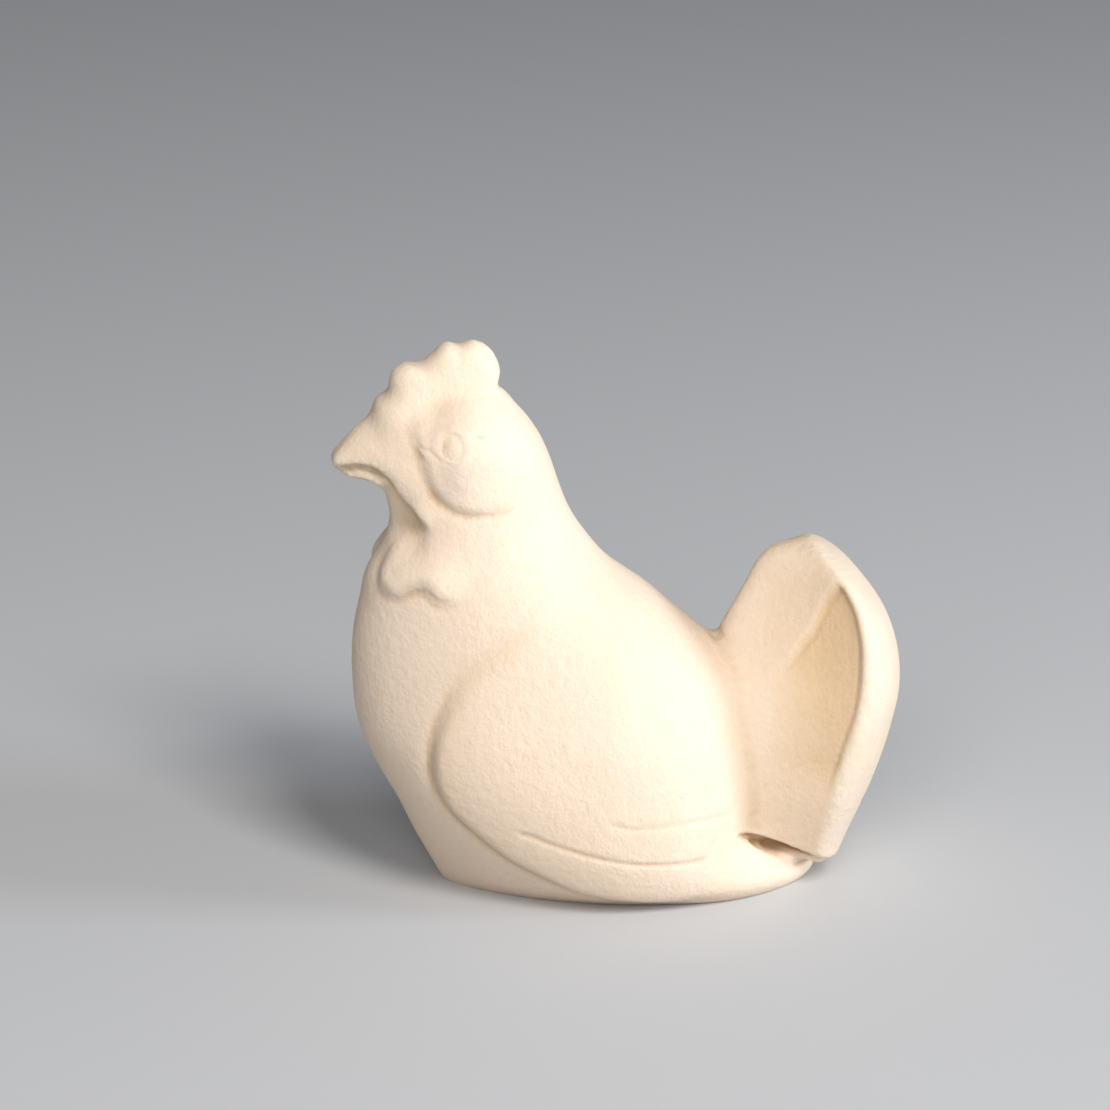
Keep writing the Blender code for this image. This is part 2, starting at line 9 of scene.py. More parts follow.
import bmesh
import bpy
import numpy as np
from mathutils import Matrix, Vector


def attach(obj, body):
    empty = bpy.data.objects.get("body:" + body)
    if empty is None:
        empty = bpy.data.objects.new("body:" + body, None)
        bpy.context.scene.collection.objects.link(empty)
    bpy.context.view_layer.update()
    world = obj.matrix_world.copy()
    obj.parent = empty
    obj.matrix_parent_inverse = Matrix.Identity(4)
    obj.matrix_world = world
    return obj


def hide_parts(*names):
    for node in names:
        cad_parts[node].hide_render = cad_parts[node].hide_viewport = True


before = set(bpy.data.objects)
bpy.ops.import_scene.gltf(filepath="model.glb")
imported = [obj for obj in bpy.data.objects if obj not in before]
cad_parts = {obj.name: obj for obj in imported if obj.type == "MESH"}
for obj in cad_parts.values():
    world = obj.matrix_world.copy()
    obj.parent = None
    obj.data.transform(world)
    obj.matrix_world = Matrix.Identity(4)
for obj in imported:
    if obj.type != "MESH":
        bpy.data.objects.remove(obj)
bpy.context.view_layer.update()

# Trunk, neck and crown
# The body of the carving, of solid lime wood, is one smooth upright form on a flat base, whose front narrows
# to a low prow near the floor. Each level section is an oval with its Z, front, back, half width, and the Y
# where it is widest.
MM = 0.001
BELOW_BASE = 0.8
TRUNK_TOP = 38.0
TRUNK_FOOT = 0.05
BREAST_PINCH = 0.5
PINCH_TOP = 7
TRUNK = np.array([
    (-BELOW_BASE, -12.4, 13.6, 6.0, 5.0),
    (0.0, -13.0, 14.6, 7.8, 4.8),
    (1.0, -13.5, 15.0, 9.2, 4.0),
    (2.2, -14.1, 13.7, 9.9, 3.0),
    (4.0, -15.0, 10.6, 10.4, 2.0),
    (6.5, -16.1, 10.6, 10.7, 1.0),
    (9.5, -17.7, 10.6, 10.8, -0.5),
    (12.5, -18.9, 10.0, 10.5, -1.5),
    (16.0, -19.3, 8.6, 9.7, -2.5),
    (18.0, -19.3, 6.8, 9.1, -3.5),
    (20.0, -19.1, 4.6, 8.4, -5.0),
    (22.0, -18.65, 2.3, 7.6, -7.0),
    (24.0, -18.2, -0.4, 6.8, -8.5),
    (26.0, -17.0, -2.1, 6.0, -9.5),
    (28.0, -16.4, -3.4, 5.4, -10.0),
    (30.0, -16.6, -4.2, 5.0, -9.8),
    (32.0, -14.0, -4.85, 4.8, -10.0),
    (34.0, -13.6, -5.75, 4.5, -10.4),
    (36.0, -13.4, -7.3, 3.4, -10.8),
    (TRUNK_TOP - 0.4, -12.8, -9.4, 1.6, -11.2),
    (TRUNK_TOP, -11.4, -11.1, 0.0, -11.2),
])


def ease(x, low, high):
    """0 below low, 1 above high, and smooth between them."""
    t = np.clip((x - low) / (high - low), 0, 1)
    return t * t * (3 - 2 * t)


def column(table, index, at):
    """One column of a table of sections, on a smooth curve through its rows."""
    x, y = table[:, 0], table[:, index]
    slope = np.gradient(y, x)
    i = np.clip(np.searchsorted(x, at, side="right") - 1, 0, len(x) - 2)
    span = x[i + 1] - x[i]
    t = (at - x[i]) / span
    start = (1 + 2 * t) * (1 - t) ** 2 * y[i] + t * (1 - t) ** 2 * span * slope[i]
    end = t * t * (3 - 2 * t) * y[i + 1] - t * t * (1 - t) * span * slope[i + 1]
    return start + end


def new_object(name, bm):
    mesh = bpy.data.meshes.new(name)
    bm.to_mesh(mesh)
    bm.free()
    ob = bpy.data.objects.new(name, mesh)
    bpy.context.scene.collection.objects.link(ob)
    return ob


def moulded(name, form, around=96, levels=60):
    """A ball pulled to a form, which gives X, Y and Z for the angle round it and the level up it, 0 to 1."""
    bm = bmesh.new()
    bmesh.ops.create_uvsphere(bm, u_segments=around, v_segments=levels, radius=1)
    ball = np.array([vert.co[:] for vert in bm.verts])
    level = np.arccos(np.clip(-ball[:, 2], -1, 1)) / math.pi
    angle = np.arctan2(ball[:, 0], ball[:, 1])
    for vert, point in zip(bm.verts, np.stack(form(angle, level), -1)):
        vert.co = point
    if bm.calc_volume(signed=True) < 0:
        bmesh.ops.reverse_faces(bm, faces=bm.faces)
    return new_object(name, bm)


def ellipsoid(name, middle, radii, nod=0.0):
    """A ball with three radii, turned about X by nod."""
    c, s = math.cos(nod), math.sin(nod)

    def form(angle, level):
        ring = np.sin(level * math.pi)
        x = radii[0] * ring * np.sin(angle)
        y = radii[1] * ring * np.cos(angle)
        z = -radii[2] * np.cos(level * math.pi)
        return middle[0] + x, middle[1] + y * c - z * s, middle[2] + y * s + z * c

    return moulded(name, form, 48, 32)


def trunk_form(angle, level):
    """Ovals from below the base to the crown, pinched to a prow low on the breast."""
    z = -BELOW_BASE + (TRUNK_TOP + BELOW_BASE) * np.clip((level - TRUNK_FOOT) / (1 - TRUNK_FOOT), 0, 1)
    front, back, half, widest = (column(TRUNK, k, z) for k in (1, 2, 3, 4))
    spread = np.clip(level / TRUNK_FOOT, 0, 1)
    s, c = np.sin(angle), np.cos(angle)
    reach = np.where(c > 0, back - widest, widest - front)
    pinch = np.where(c < 0, 1 + BREAST_PINCH * (1 - ease(z, 0, PINCH_TOP)), 1)
    return half * spread * np.sign(s) * np.abs(s) ** pinch, widest + reach * spread * c, z


trunk = moulded("trunk", trunk_form, 96, 120)
crown = ellipsoid("crown", (0, -10.9, 33.2), (5.1, 4.5, 4.35), -0.1)
cheeks = ellipsoid("cheeks", (0, -11.0, 31.6), (5.0, 3.5, 2.9))

# Tail
# An upright fan behind the body. It is thin at its ridge in front, flares out to the crease of a broad rim,
# and is rounded behind. Each level has its Z, the Y and half width of its ridge, the same of the crease, and
# the Y of its back.
TAIL_TOP = 25.0
TAIL_FOOT = 0.06
TAIL_HEEL = 15.0
TAIL_CORE = 1.4
TAIL_UNDERCUT = 0.3
TAIL_FLARE = 1.8
RIDGE_ROUND = 5
RIM_ROUND = 1.15
TAIL = np.array([
    (1.7, 3.0, 4.6, 13.6, 7.0, 16.4),
    (4.0, 3.0, 4.8, 13.7, 7.8, 17.4),
    (8.0, 3.0, 5.0, 14.4, 9.1, 19.1),
    (12.0, 3.0, 4.9, 15.4, 9.7, 20.3),
    (15.0, 4.5, 4.2, 16.2, 9.7, 20.8),
    (18.0, 7.3, 2.8, 16.6, 9.1, 20.4),
    (20.0, 8.4, 2.0, 16.6, 8.3, 19.6),
    (22.0, 9.5, 1.6, 16.2, 7.0, 18.2),
    (23.6, 10.4, 1.4, 15.3, 5.1, 16.7),
    (TAIL_TOP - 0.6, 11.3, 1.3, 14.6, 3.1, 15.4),
    (TAIL_TOP, 12.8, 0.5, 14.1, 0.9, 14.3),
])


def tail_form(angle, level):
    """The fan, whose lower edge climbs from its heel to the body."""
    z = TAIL[0, 0] + (TAIL_TOP - TAIL[0, 0]) * np.clip((level - TAIL_FOOT) / (1 - TAIL_FOOT), 0, 1)
    front, ridge, crease, rim, rear = (column(TAIL, k, z) for k in (1, 2, 3, 4, 5))
    spread = np.clip(level / TAIL_FOOT, 0, 1)
    turn = np.abs(angle)
    behind = turn < math.pi / 2
    s = np.clip(turn / (math.pi / 2) - 1, 0, 1)
    face = (ridge + (rim - ridge) * (1 - s) ** TAIL_FLARE) * np.sqrt(1 - s ** RIDGE_ROUND)
    x = np.where(behind, rim * np.abs(np.sin(turn)) ** RIM_ROUND, face) * np.sign(angle)
    y = np.where(behind, crease + (rear - crease) * np.cos(turn), crease + (front - crease) * s)
    core = crease - TAIL_CORE
    y = core + (y - core) * spread
    z = z + TAIL_UNDERCUT * np.clip(TAIL_HEEL - y, 0, None) * (1 - level) ** 3
    return x * spread, y, z


tail = moulded("tail", tail_form)

# Beak and face
# Both are carved as one wedge with a keel along its top, widest low down at the mouth and the jaw. Each
# upright section, from the tip back, has its Y, half width, top and bottom.
FACE = np.array([
    (-20.85, 0.35, 32.5, 31.9),
    (-20.5, 0.7, 32.85, 31.7),
    (-19.8, 1.1, 33.65, 31.35),
    (-18.8, 1.65, 34.8, 30.95),
    (-17.8, 2.25, 35.5, 30.75),
    (-16.8, 2.9, 36.4, 30.1),
    (-15.6, 3.6, 37.1, 28.8),
    (-14.2, 4.2, 37.3, 28.3),
    (-12.0, 4.2, 36.8, 29.0),
])
FACE_ENDS = 0.05
FACE_WIDEST = 0.42
FACE_KEEL = 1.2
FACE_ROUND = 0.9


def face_form(angle, level):
    """Upright sections from the tip of the beak back into the head."""
    y = FACE[0, 0] + (FACE[-1, 0] - FACE[0, 0]) * level
    half, top, bottom = (column(FACE, k, y) for k in (1, 2, 3))
    spread = np.sqrt(np.clip(np.minimum(level, 1 - level) / FACE_ENDS, 0, 1))
    s, c = np.sin(angle), np.cos(angle)
    middle = bottom + (top - bottom) * FACE_WIDEST
    above = (top - middle) * np.abs(c) ** FACE_KEEL
    below = (bottom - middle) * np.abs(c) ** FACE_ROUND
    z = middle + np.where(c > 0, above, below) * spread
    return half * spread * np.sign(s) * np.abs(s) ** FACE_ROUND, y, z


face = moulded("face", face_form, 64, 64)

# The block
# The forms run into each other as wood does under a rasp and sandpaper: they are fused, then smoothed, most
# of all in the valley where the tail's faces run into the flanks. The crease of the tail's rim stays sharp.
GRAIN = 0.255
VALLEY = np.array([(0.0, 7.4, 18.2), (4.0, 8.6, 17.0), (5.4, 9.2, 14.0), (6.2, 9.4, 10.0), (6.1, 9.4, 6.0),
                   (5.8, 9.4, 4.5)])
VALLEY_REACH = 6.5
VALLEY_SANDING = 9.0
BLOCK_SANDING = 0.75
SANDING_STEPS = 20
RIM = TAIL[:, [4, 3, 0]]


def applied(ob):
    """The object with its modifiers applied."""
    graph = bpy.context.evaluated_depsgraph_get()
    mesh = bpy.data.meshes.new_from_object(ob.evaluated_get(graph))
    name = ob.name
    bpy.data.objects.remove(ob)
    new = bpy.data.objects.new(name, mesh)
    bpy.context.scene.collection.objects.link(new)
    return new


def fused(parts):
    """The parts run together into one closed surface."""
    bm = bmesh.new()
    for ob in parts:
        bm.from_mesh(ob.data)
        bpy.data.objects.remove(ob)
    whole = new_object("hen_carving", bm)
    remesh = whole.modifiers.new("fuse", "REMESH")
    remesh.mode = "VOXEL"
    remesh.voxel_size = GRAIN
    return applied(whole)


def vectors_of(data, key):
    """The vectors that the mesh data holds under the key, as the rows of an array."""
    values = np.empty(len(data) * 3)
    data.foreach_get(key, values)
    return values.reshape(-1, 3)


def points_of(ob):
    return vectors_of(ob.data.vertices, "co")


def normals_of(ob):
    return vectors_of(ob.data.vertex_normals, "vector")


def left_side(vectors, points):
    """Vectors of the right side turned over to the left, as the carving is alike on both sides."""
    return vectors * np.where(points[:, :1] < 0, (-1, 1, 1), (1, 1, 1))


def distance(points, route):
    """Distance from each point to a route, in two or three dimensions."""
    best = np.full(len(points), np.inf)
    for a, b in zip(route[:-1], route[1:]):
        step = b - a
        t = np.clip((points - a) @ step / (step @ step), 0, 1)
        best = np.minimum(best, np.linalg.norm(points - a - t[:, None] * step, axis=1))
    return best


def passes_for(area):
    """How many passes of sanding smooth the wood over so many square millimetres."""
    return round(area / GRAIN ** 2)


def sanded(ob, passes, weight=None):
    """Smooths the surface, everywhere or most where the weight is 1."""
    smooth = ob.modifiers.new("sand", "SMOOTH")
    smooth.factor = 0.5
    smooth.iterations = passes
    if weight is not None:
        group = ob.vertex_groups.new(name="sand")
        steps = np.round(np.clip(weight, 0, 1) * SANDING_STEPS).astype(int)
        for step in range(1, SANDING_STEPS + 1):
            group.add(np.flatnonzero(steps == step).tolist(), step / SANDING_STEPS, "REPLACE")
        smooth.vertex_group = group.name
    return applied(ob)


def seen_from_left():
    """The hen's points, with those of its right side turned over to the left."""
    points = points_of(hen)
    return left_side(points, points)


hen = fused([trunk, tail, face, crown, cheeks])
points = seen_from_left()
valley = ease(VALLEY_REACH - distance(points, VALLEY), 0, 4.0) * ease(points[:, 0], 0.3, 2.5)
valley *= ease(distance(points, RIM), 0.5, 2.5)
hen = sanded(hen, passes_for(VALLEY_SANDING), valley)
off_rim = ease(distance(seen_from_left(), RIM), 0.3, 1.3)
hen = sanded(hen, passes_for(BLOCK_SANDING), 0.1 + 0.9 * off_rim)

# Comb
# A single comb with three lobes, thick at its root and thinner at its edge, from the base of the beak to the
# nape. It is fused to the head and sanded in there, so that no joint shows. Its outline has Y and Z.
COMB = [(-17.4, 34.8), (-17.65, 35.8), (-17.3, 36.75), (-16.75, 36.9), (-16.4, 37.5), (-16.35, 38.3),
        (-15.9, 39.0), (-15.1, 39.35), (-14.2, 39.2), (-13.4, 39.8), (-12.3, 40.8), (-11.4, 40.5),
        (-10.3, 40.85), (-9.05, 40.1), (-8.4, 38.6), (-8.7, 37.4), (-9.1, 35.4), (-12.0, 34.0)]
COMB_MIDDLE = (-12.3, 37.0)
COMB_HEIGHTS = (34, 36, 38, 41)
COMB_HALF_WIDTHS = (3.4, 2.6, 1.8, 1.4)
COMB_STEPS = 720
COMB_BLUNT = 0.35
COMB_SANDING = 0.2
HEAD_SANDING = 1.2
HEAD_STARTS = (30.0, 33.0)


def curve_through(knots, count, closed=False):
    """A smooth curve of count points through the knots."""
    knots = np.asarray(knots, float)
    n = len(knots)
    t = np.linspace(0, n, count, endpoint=False) if closed else np.linspace(0, n - 1.001, count)
    i = t.astype(int)
    turn = (lambda k: k % n) if closed else (lambda k: np.clip(k, 0, n - 1))
    a, b, c, d = (knots[turn(i + k)] for k in (-1, 0, 1, 2))
    f = (t - i)[:, None]
    square = (2 * a - 5 * b + 4 * c - d) * f ** 2
    cube = (3 * b - 3 * c + d - a) * f ** 3
    return 0.5 * (2 * b + (c - a) * f + square + cube)


def comb_form(angle, level):
    """The outline in the hen's middle plane, drawn in towards its own middle on both sides."""
    outline = curve_through(COMB, COMB_STEPS, closed=True)
    edge = outline[np.round((angle + math.pi) / (2 * math.pi) * COMB_STEPS).astype(int) % COMB_STEPS]
    across = np.cos((level - 0.5) * math.pi) ** COMB_BLUNT
    y, z = (COMB_MIDDLE[k] + (edge[:, k] - COMB_MIDDLE[k]) * across for k in (0, 1))
    return -np.cos(level * math.pi) * np.interp(z, COMB_HEIGHTS, COMB_HALF_WIDTHS), y, z


hen = sanded(fused([hen, moulded("comb", comb_form, 96, 40)]), passes_for(COMB_SANDING))
points = seen_from_left()
sides = 0.15 + 0.85 * ease(points[:, 0], 0.8, 2.2)
hen = sanded(hen, passes_for(HEAD_SANDING), ease(points[:, 2], *HEAD_STARTS) * sides)

# Wings
# Low relief on the flanks: the edge of each wing is a rounded step in front and below, with a groove at its
# foot, and fades out on the back. The edge has the Y and Z that a side view shows, and so have the outlines
# of the cheeks, mouth, slot and feathers.
WING_EDGE = [(-6.0, 22.4), (-7.6, 21.5), (-11.4, 18.8), (-12.6, 17.1), (-13.8, 14.4), (-14.2, 12.2),
             (-14.0, 10.2), (-13.0, 8.1), (-11.1, 6.2), (-8.9, 4.4), (-6.5, 3.1), (-3.9, 1.9), (0.3, 1.0),
             (4.0, 0.8), (8.0, 1.2)]
WING_BEHIND = [(13.0, 8.0), (11.0, 20.0), (0.0, 26.0)]
WING_RELIEF = 0.85
WING_GROOVE = 0.28
WING_FADES_UP = (10.5, 21.0)
WING_FADES_BACK = (-3.0, 8.0)


def within(points, outline):
    """Whether each flat point is inside the closed outline."""
    inside = np.zeros(len(points), bool)
    u, v = points.T
    for (au, av), (bu, bv) in zip(outline, np.roll(outline, -1, axis=0)):
        if av != bv:
            inside ^= ((av > v) != (bv > v)) & (u < (bu - au) * (v - av) / (bv - av) + au)
    return inside


def side_of(flat, route, far):
    """Distance from the route, negative on the side away from the far points."""
    inside = within(flat, np.vstack([route, far]))
    return distance(flat, route) * np.where(inside, 1, -1)


def raised(relief):
    """Moves the hen's surface out by the relief, a function of points and normals seen from the left."""
    points = points_of(hen)
    normals = normals_of(hen)
    points += normals * relief(left_side(points, points), left_side(normals, points))[:, None]
    hen.data.vertices.foreach_set("co", points.ravel())
    hen.data.update()


def on_wing(flat):
    """Distance in from the wing's edge, negative outside it."""
    return side_of(flat, curve_through(WING_EDGE, 160), WING_BEHIND)


def bell(depth, at, width):
    """1 where the depth is at, and falling to 0 on both sides over about the width."""
    return np.exp(-((depth - at) / width) ** 2)


def wing_relief(points, normals):
    """A step up onto the wing, with the groove at its foot."""
    flat = points[:, 1:]
    depth = on_wing(flat)
    lift = WING_RELIEF * ease(depth, -0.5, 0.9) * (1 - 0.75 * ease(depth, 1.5, 9.0))
    groove = WING_GROOVE * bell(depth, -0.32, 0.38)
    fade = (1 - ease(flat[:, 1], *WING_FADES_UP)) * (1 - ease(flat[:, 0], *WING_FADES_BACK))
    return (lift - groove) * fade * ease(normals[:, 0], 0.15, 0.6) * ease(points[:, 0], 3.0, 5.5)


# Cheeks, mouth and throat
# Each cheek is a low dome with a crease in front and below. The upper beak and the jaw stand out over the
# lower beak and over the hollow of the throat.
CHEEK = [(-13.6, 37.6), (-14.8, 36.6), (-15.15, 35.4), (-15.0, 34.4), (-14.8, 33.6), (-14.5, 32.8),
         (-14.3, 32.0), (-13.95, 31.2), (-13.4, 30.35), (-12.7, 29.8), (-11.9, 29.45), (-10.9, 29.3),
         (-9.8, 29.3), (-8.8, 29.45), (-7.7, 29.8), (-6.6, 30.4)]
CHEEK_BEHIND = [(-6.0, 38.0)]
CHEEK_RELIEF = 0.42
CHEEK_CREASE = 0.12
CHEEK_FADES_UP = (33.0, 37.0)
CHEEK_FADES_BACK = (-12.5, -6.5)
MOUTH = [(-20.9, 32.0), (-20.1, 32.0), (-19.0, 32.3), (-18.15, 32.3), (-17.5, 32.1), (-16.95, 31.8),
         (-16.5, 31.4), (-16.2, 30.85), (-15.7, 30.15), (-15.15, 29.5), (-14.6, 28.8), (-13.9, 28.2)]
MOUTH_ABOVE = [(-12.0, 36.0), (-22.0, 36.0)]
MOUTH_STEP = 0.35
LIP = 0.3
JAW_STARTS = (-17.3, -16.2)
MOUTH_FADES_BACK = (-14.8, -13.0)
THROAT_HOLLOW = 0.8
THROAT_FADES_BACK = (-15.8, -13.6)


def cheek_relief(points, normals):
    """A low dome, with the crease round it."""
    flat = points[:, 1:]
    depth = side_of(flat, curve_through(CHEEK, 120), CHEEK_BEHIND)
    front = 1 - ease(flat[:, 0], *CHEEK_FADES_BACK)
    low = 1 - 0.8 * ease(flat[:, 1], *CHEEK_FADES_UP)
    lift = CHEEK_RELIEF * ease(depth, -0.2, 0.8) * (1 - 0.3 * ease(depth, 1.5, 4.5))
    groove = CHEEK_CREASE * bell(depth, -0.12, 0.35)
    return (lift - groove) * front * low * ease(normals[:, 0], 0.2, 0.6) * ease(points[:, 0], 1.8, 3.2)


def mouth_relief(points, normals):
    """The upper beak's step, the line of the mouth, the lower beak's lip and the throat."""
    flat = points[:, 1:]
    depth = side_of(flat, curve_through(MOUTH, 120), MOUTH_ABOVE)
    jaw = ease(flat[:, 0], *JAW_STARTS)
    sideways = ease(points[:, 0], 0.1, 0.8)
    lift = MOUTH_STEP * ease(depth, -0.2, 0.25) * (1 - ease(depth, 0.3, 2.2)) * sideways
    groove = MOUTH_STEP * bell(depth, -0.3, 0.28) * (1 - jaw) * sideways
    lip = LIP * bell(depth, -0.75, 0.25) * (1 - jaw) * sideways
    hollow = THROAT_HOLLOW * jaw * ease(-depth, -0.1, 0.4) * (1 - ease(-depth, 0.4, 3.6))
    hollow *= (1 - ease(flat[:, 0], *THROAT_FADES_BACK)) * ease(points[:, 0], 0.3, 2.2)
    return (lift + lip - groove - hollow) * (1 - ease(flat[:, 0], *MOUTH_FADES_BACK))


# Wattles
# Two soft lappets hang round the front of the neck, each with two scallops below. Their edge is told by the
# distance round the neck from the middle of the throat, and the height.
NECK_AXIS = -9.5
NECK_ROUND = 7.5
WATTLE = [(2.3, 29.5), (1.6, 27.6), (1.5, 26.2), (1.65, 25.2), (1.95, 24.4), (2.4, 23.75), (3.0, 23.35),
          (3.8, 23.2), (4.4, 23.4), (5.0, 23.8), (5.6, 23.98), (6.1, 23.95), (6.6, 23.6), (7.2, 23.3),
          (7.9, 23.25), (8.6, 23.5), (9.4, 24.2), (9.9, 25.6)]
WATTLE_ABOVE = [(9.9, 32.0), (2.2, 32.0)]
WATTLE_RELIEF = 0.6
WATTLE_GROOVE = 0.1
WATTLE_STARTS = (1.2, 3.2)
WATTLE_FADES_UP = (24.6, 28.2)
WATTLE_FADES_BACK = (6.5, 9.5)


def wattle_relief(points, normals):
    """The lappets, thickest near their lower edge."""
    x, y, z = points.T
    flat = np.stack([np.arctan2(x, NECK_AXIS - y) * NECK_ROUND, z], -1)
    depth = side_of(flat, curve_through(WATTLE, 160), WATTLE_ABOVE)
    lift = WATTLE_RELIEF * ease(depth, -0.4, 0.9) * (1 - 0.3 * ease(depth, 0.8, 3.0))
    lift *= 1 - ease(z, *WATTLE_FADES_UP)
    lift *= (1 - 0.85 * ease(flat[:, 0], *WATTLE_FADES_BACK)) * (0.3 + 0.7 * ease(flat[:, 0], *WATTLE_STARTS))
    groove = WATTLE_GROOVE * bell(depth, -0.3, 0.35) * (1 - ease(z, 24.0, 26.0))
    groove *= 1 - ease(flat[:, 0], 7.5, 9.5)
    return (lift - groove) * ease(x, 0.1, 0.9)


# Slot under the tail
# A narrow cut on each side parts the tail's lower edge from the lobe that the hen sits on. The surface inside
# the cut's outline is pushed in, and its rim is left soft.
SLOT = np.array([(8.5, 4.7), (9.1, 4.4), (11.2, 3.65), (13.3, 2.85), (15.2, 2.1), (15.2, 1.6), (13.2, 2.15),
                 (11.0, 2.85), (9.3, 3.85)])
SLOT_DEPTH = 2.2
RELIEF_PASSES = 2


def in_slot(flat):
    """How deep each flat point is inside the slot's outline, negative outside it."""
    return distance(flat, np.vstack([SLOT, SLOT[:1]])) * np.where(within(flat, SLOT), 1, -1)


def slot_relief(points, normals):
    """The cut, sunk to one depth inside its outline."""
    return -SLOT_DEPTH * ease(in_slot(points[:, 1:]), -0.15, 0.35) * ease(normals[:, 0], 0.1, 0.5)


for relief in (wing_relief, cheek_relief, mouth_relief, wattle_relief, slot_relief):
    raised(relief)
hen = sanded(fused([hen]), RELIEF_PASSES)

# Base
# The underside of the carving is sawn off flat, so that it stands. What the forms have below Z = 0 is cut
# away, and the opening is closed with one flat face.
bm = bmesh.new()
bm.from_mesh(hen.data)
bpy.data.objects.remove(hen)
everything = bm.verts[:] + bm.edges[:] + bm.faces[:]
bmesh.ops.bisect_plane(bm, geom=everything, plane_co=(0, 0, 0), plane_no=(0, 0, -1), clear_outer=True)
bmesh.ops.contextual_create(bm, geom=[edge for edge in bm.edges if edge.is_boundary])
bmesh.ops.recalc_face_normals(bm, faces=bm.faces)
hen = new_object("hen_carving", bm)

# Lowered feathers of the tail
# The middle of the tail's face is pared down with the knife, deepest beside the rim, so that its feathers lie
# lower than those above them, with a step between the two.
PANEL_DEPTH = 0.45
PANEL_TOP = [(15.2, 23.3), (14.4, 22.0), (13.6, 20.2), (13.1, 19.3), (12.5, 18.5), (11.8, 17.6),
             (11.1, 16.85), (10.2, 15.9)]
PANEL_OVER = [(8.0, 30.0), (20.0, 30.0)]


def past_rim(flat):
    """How far each flat point lies behind the crease of the tail's rim."""
    return flat[:, 0] - column(TAIL, 3, np.clip(flat[:, 1], TAIL[0, 0], TAIL_TOP))


def panel_relief(points, normals):
    """The lowered feathers, only where the tail's face looks forwards."""
    flat = points[:, 1:]
    under = -side_of(flat, curve_through(PANEL_TOP, 40), PANEL_OVER)
    beside = 1 - ease(past_rim(flat), -0.6, 0.0)
    dished = ease(flat[:, 0], 9.5, 14.0) * ease(flat[:, 1], 7.0, 11.0)
    return -PANEL_DEPTH * ease(under, -0.15, 0.5) * dished * beside * ease(-normals[:, 1], 0, 0.3)


raised(panel_relief)

# Painted shade
# How hollow the wood is, and where painted shade falls on it: in brown in tight creases and, as a painted
# shadow under the tail's lower edge, in the slot; in tan in broad dips, on the tail's face and its lowered
# feathers, and along the wing's front edge.
TIGHT_DEPTH = 0.04
TIGHT_PASSES = 6
BROAD_DEPTH = 0.5
TAIL_FACE_SHADE = 0.3
PANEL_SHADE = 0.6
WING_EDGE_SHADE = 0.3
SLOT_SLOPE = 0.38
SLOT_FRONT = 9.1
ABOVE_SLOT = (4.2, 4.6)
SLOT_SHADOW_FADES = (9.5, 13.5)
HOLLOW_MOST = 1.4


def sunk(ob, passes):
    """How far each point lies under the surface that so many passes of sanding would leave."""
    trial = bpy.data.objects.new("trial", ob.data.copy())
    bpy.context.scene.collection.objects.link(trial)
    trial = sanded(trial, passes)
    gap = np.sum((points_of(trial) - points_of(ob)) * normals_of(ob), axis=1)
    bpy.data.objects.remove(trial)
    return gap


tight, broad = sunk(hen, TIGHT_PASSES), sunk(hen, passes_for(VALLEY_SANDING))
points = points_of(hen)
flat = points[:, 1:]
normals = normals_of(hen)
on_face = 1 - ease(past_rim(flat), -0.2, 0.2)
over_slot = ease(flat[:, 1] + SLOT_SLOPE * (flat[:, 0] - SLOT_FRONT), *ABOVE_SLOT)
# Painted shade in tan on the tail's forward face, above the slot.
tail_face_shade = TAIL_FACE_SHADE * ease(flat[:, 0], 9.0, 12.0) * on_face * over_slot
# Painted shade in tan on the tail's lowered feathers.
panel = -panel_relief(left_side(points, points), left_side(normals, points)) / PANEL_DEPTH
# Painted shade in tan in broad dips in front of the tail's rim.
dip_shade = np.clip(broad / BROAD_DEPTH, 0, 0.75) * on_face
# Painted shade in tan along the rounded front edge of the wing.
wing_edge_shade = WING_EDGE_SHADE * bell(on_wing(flat), 0.3, 0.8) * (1 - ease(flat[:, 0], -9.0, -5.0))
# Painted shadow in brown inside the slot, under the tail's lower edge, fading towards the back.
slot_shadow = ease(in_slot(flat), -0.2, 0.2) * (1 - ease(flat[:, 0], *SLOT_SHADOW_FADES))
shades = {
    "hollow": np.clip(tight / TIGHT_DEPTH + slot_shadow, -1, HOLLOW_MOST),
    "painted_shade": np.clip(dip_shade + tail_face_shade + PANEL_SHADE * panel + wing_edge_shade, 0, 1),
}
for name, values in shades.items():
    hen.data.attributes.new(name, "FLOAT", "POINT").data.foreach_set("value", values)

